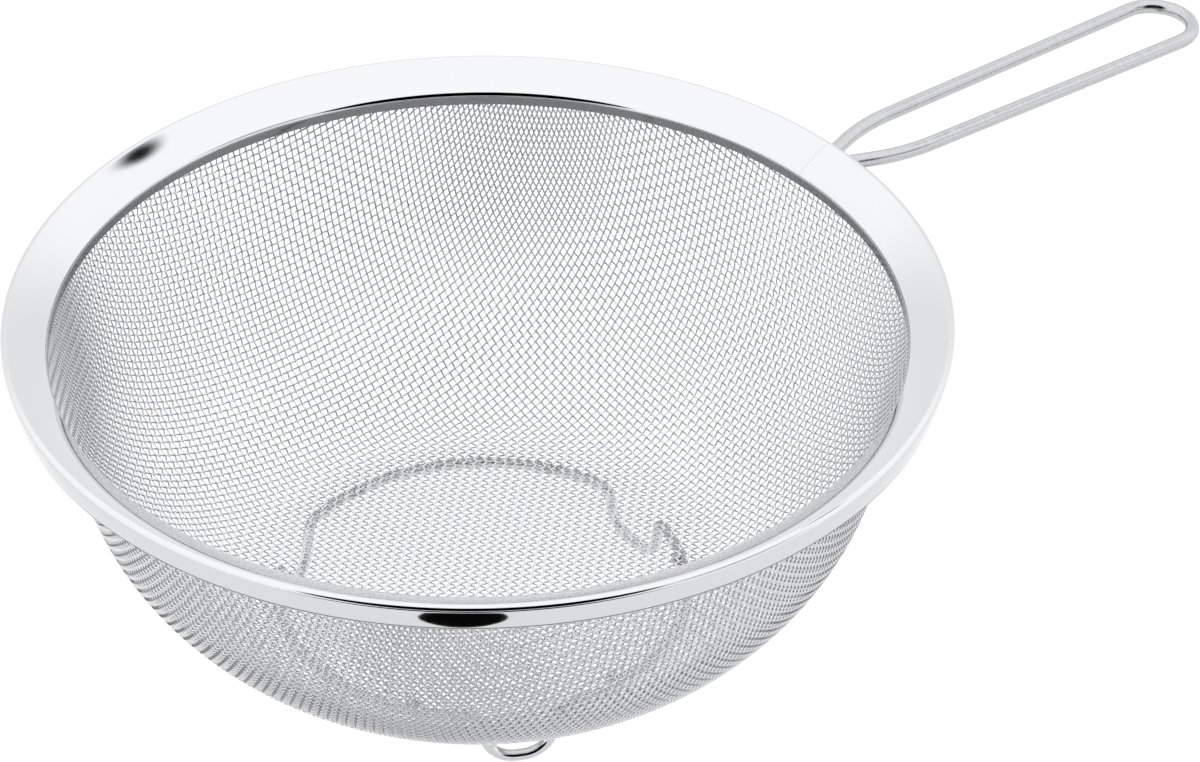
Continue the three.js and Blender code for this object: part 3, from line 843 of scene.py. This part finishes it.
dull_weld, nodes, links, shader = new_finish("dull_weld")
grain = add_noise(nodes, links, object_place(nodes), WELD_GRAIN, GRAIN_DETAIL)
vary_roughness(nodes, links, grain, "dull_weld", shader)
add_bump(nodes, links, grain, GRAIN_STRENGTH, GRAIN_HEIGHT, shader)
metals = (polished, bright_wire, satin_wire, drawn_wire, dull_weld)
print("metals:", ", ".join(f"{metal.name} with {len(metal.node_tree.nodes)} nodes" for metal in metals))

# %% [markdown]
# ## Each piece takes its place
# A piece rides on the body it belongs to, hides the solid it stands for, and takes its finish.
# Nothing on the colander moves, so all pieces ride on one body.

# %% Dress the solids


def dress(piece, node, finish):
    """Gives a piece its finish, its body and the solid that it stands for."""
    piece.data.materials.append(finish)
    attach(piece, "root")
    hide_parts(node)


dress(rim, "rim_band", polished)
dress(handle, "handle_loop", satin_wire)
dress(stand, "foot_stand", drawn_wire)
for part in cloth:
    dress(part, "mesh_bowl", bright_wire)
for node, bead in welds.items():
    dress(bead, node, dull_weld)
print("cloth in", len(cloth), "pieces, welds in", len(welds))

# %% [markdown]
# ## The floor
# The colander stands on plain white. A sheet of paper under strong lamps would do, but then its
# shade would depend on every lamp. So the floor is one large sheet that gives off light of its own,
# as a lit table does, and stays white right up to the feet. It belongs to the stage and isn't part
# of the colander.

# %% Lay the floor
WHITE, BLACK = (1.0, 1.0, 1.0, 1.0), (0.0, 0.0, 0.0, 1.0)
FLOOR_HALF = 3.0
PAPER_COLOUR, PAPER_ROUGHNESS, PAPER_GLOW = (0.2, 0.2, 0.2, 1.0), 0.8, 0.9

floor_z = TABLE_HEIGHT * MM
floor_mesh = bpy.data.meshes.new("pale_floor")
floor_mesh.from_pydata(
    [(x * FLOOR_HALF, y * FLOOR_HALF, floor_z) for x, y in ((-1, -1), (1, -1), (1, 1), (-1, 1))],
    [],
    [(0, 1, 2, 3)],
)
floor = bpy.data.objects.new("pale_floor", floor_mesh)
bpy.context.scene.collection.objects.link(floor)
paper = bpy.data.materials.new("pale_paper")
paper.use_nodes = True
paper_shader = paper.node_tree.nodes["Principled BSDF"]
paper_shader.inputs["Base Color"].default_value = PAPER_COLOUR
paper_shader.inputs["Roughness"].default_value = PAPER_ROUGHNESS
paper_shader.inputs["Emission Color"].default_value = WHITE
paper_shader.inputs["Emission Strength"].default_value = PAPER_GLOW
floor_mesh.materials.append(paper)
print("floor at", round(floor_z, 4), "m")

# %% [markdown]
# ## Dark cards
# Polished steel shows its surroundings, and photographers shape them with cards. Three dark cards
# lie on the floor: an oval one whose image is the black oval on the skirt, a wide one for the dark
# end of the table, and a grey one round the front of the bowl. The grey one is a painted shadow: it
# stands for the floor's shade there, which the floor's own glow leaves out, and its image draws dark
# lines between the wires. They show in the metal alone, so the floor looks plain from every side.

# %% Lay the cards
CARD_LIFT, CARD_SIDES = 0.5, 48
OVAL_AWAY, OVAL_ASIDE = 198.5, -12.0
OVAL_HALF_DEPTH, OVAL_HALF_WIDTH = 36.0, 27.0
SHADE_INNER, SHADE_OUTER, SHADE_DEGREES = 105.0, 155.0, 110.0
SHADE_GLOW = 0.3
EDGE_AWAY, EDGE_FAR, EDGE_HALF = 270.0, 700.0, 220.0
camera_azimuth = np.arctan2(CAMERA_PLACE[1], CAMERA_PLACE[0])


def lay_card(name, away, aside, glow=0.0):
    """A dark card on the floor, with corners away from the axis towards the camera, and aside."""
    cosine, sine = np.cos(camera_azimuth), np.sin(camera_azimuth)
    height = np.full(len(away), TABLE_HEIGHT + CARD_LIFT)
    points = np.column_stack([away * cosine - aside * sine, away * sine + aside * cosine, height])
    card = make_piece(name, points, [np.arange(len(away))[None]], np.zeros((len(away), 2)))
    finish = bpy.data.materials.new(name)
    finish.use_nodes = True
    shader = finish.node_tree.nodes["Principled BSDF"]
    shader.inputs["Base Color"].default_value = BLACK
    shader.inputs["Specular IOR Level"].default_value = 0.0
    shader.inputs["Emission Color"].default_value = WHITE
    shader.inputs["Emission Strength"].default_value = glow
    card.data.materials.append(finish)
    card.visible_camera = card.visible_diffuse = card.visible_shadow = False


turn = np.linspace(0, 2 * np.pi, CARD_SIDES, endpoint=False)
lay_card(
    "black_card",
    OVAL_AWAY + OVAL_HALF_DEPTH * np.cos(turn),
    OVAL_ASIDE + OVAL_HALF_WIDTH * np.sin(turn),
)
sweep = np.radians(np.linspace(-SHADE_DEGREES, SHADE_DEGREES, CARD_SIDES))
there_and_back = np.concatenate([sweep, sweep[::-1]])
shade_radius = np.repeat([SHADE_OUTER, SHADE_INNER], CARD_SIDES)
# painted shadow: a grey card, seen only in the metal, for the floor's shade round the front of the bowl
lay_card(
    "grey_shade",
    shade_radius * np.cos(there_and_back),
    shade_radius * np.sin(there_and_back),
    SHADE_GLOW,
)
lay_card(
    "dark_front",
    np.array([EDGE_AWAY, EDGE_FAR, EDGE_FAR, EDGE_AWAY]),
    np.array([-EDGE_HALF, -EDGE_HALF, EDGE_HALF, EDGE_HALF]),
)

# %% [markdown]
# ## The light
# The photograph was taken in a white studio: light comes from all around, apart from a dark opening
# where the camera stands, which draws the dark lines on the rim and on the wires. Lamps could be put
# up for that, but a lit world is simpler, and the metal shows it as it would show a studio. A world
# knows only the way one looks, so a patch of it is a place on a ball round the scene.

# %% Shade a patch of the studio
world = bpy.data.worlds.new("white_studio")
bpy.context.scene.world = world
world.use_nodes = True
nodes, links = world.node_tree.nodes, world.node_tree.links
background = nodes["Background"]
background.inputs["Color"].default_value = WHITE
way = nodes.new("ShaderNodeTexCoord").outputs["Generated"]


def studio_patch(degrees_round, degrees_up, half_sizes, soft, brightness):
    """Brightness of the studio with one round patch: its own in its middle, 1 beyond its soft edge.

    The way to look is taken relative to the patch's middle, in the patch's own directions, and
    divided by the half sizes (in depth, across and up). Its length is 1 on the patch's edge.
    """
    azimuth, elevation = camera_azimuth + np.radians(degrees_round), np.radians(degrees_up)
    mapping = nodes.new("ShaderNodeMapping")
    mapping.vector_type = "TEXTURE"
    middle = np.array([np.cos(azimuth), np.sin(azimuth), 0.0]) * np.cos(elevation)
    middle[2] = np.sin(elevation)
    mapping.inputs["Location"].default_value = middle
    mapping.inputs["Rotation"].default_value = (0.0, -elevation, azimuth)
    mapping.inputs["Scale"].default_value = half_sizes
    links.new(way, mapping.inputs["Vector"])
    length = nodes.new("ShaderNodeVectorMath")
    length.operation = "LENGTH"
    links.new(mapping.outputs["Vector"], length.inputs[0])
    edge = nodes.new("ShaderNodeMapRange")
    edge.interpolation_type = "SMOOTHSTEP"
    edge.inputs["From Min"].default_value = 1 - soft
    edge.inputs["From Max"].default_value = 1 + soft
    edge.inputs["To Min"].default_value = brightness
    edge.inputs["To Max"].default_value = 1.0
    links.new(length.outputs["Value"], edge.inputs["Value"])
    return edge.outputs["Result"]


def multiplied(first, second):
    """The product of two values."""
    product = nodes.new("ShaderNodeMath")
    product.operation = "MULTIPLY"
    links.new(first, product.inputs[0])
    links.new(second, product.inputs[1])
    return product.outputs["Value"]


# %% [markdown]
# ## The studio's patches
# The world is white and slightly brighter overhead. It has a dark patch in the camera's direction, a
# dim one beside it, a slightly grey backdrop, and a small dark gap whose image is the smudge on the
# rim at the rear left. They could be dark objects, but those would also have to be hidden from the
# camera on every side. The patches stand in one table: degrees round from the camera, degrees up,
# half sizes, softness of the edge, brightness. Multiplying them lets patches overlap.

# %% Light the studio
TOP_STRENGTH, SIDE_STRENGTH = 1.5, 1.44
OVERHEAD_LOW, OVERHEAD_HIGH = 0.3, 0.9
PATCHES = {
    "front opening": (0.0, 26.0, (1.2, 0.62, 0.52), 0.06, 0.0),
    "side opening": (58.0, 26.0, (0.4, 0.3, 0.2), 0.4, 0.45),
    "backdrop": (180.0, 10.0, (1.0, 0.8, 0.5), 0.3, 0.82),
    "dark gap": (135.5, 53.6, (0.3, 0.1, 0.043), 0.6, 0.0),
}

up_down = nodes.new("ShaderNodeSeparateXYZ")
links.new(way, up_down.inputs["Vector"])
overhead = nodes.new("ShaderNodeMapRange")
overhead.inputs["From Min"].default_value = OVERHEAD_LOW
overhead.inputs["From Max"].default_value = OVERHEAD_HIGH
overhead.inputs["To Min"].default_value = SIDE_STRENGTH
overhead.inputs["To Max"].default_value = TOP_STRENGTH
links.new(up_down.outputs["Z"], overhead.inputs["Value"])
light = overhead.outputs["Result"]
for patch in PATCHES.values():
    light = multiplied(light, studio_patch(*patch))
links.new(light, background.inputs["Strength"])

view = bpy.context.scene.view_settings
view.view_transform = "Standard"
print("studio:", SIDE_STRENGTH, "at the sides,", TOP_STRENGTH, "overhead, with", ", ".join(PATCHES))
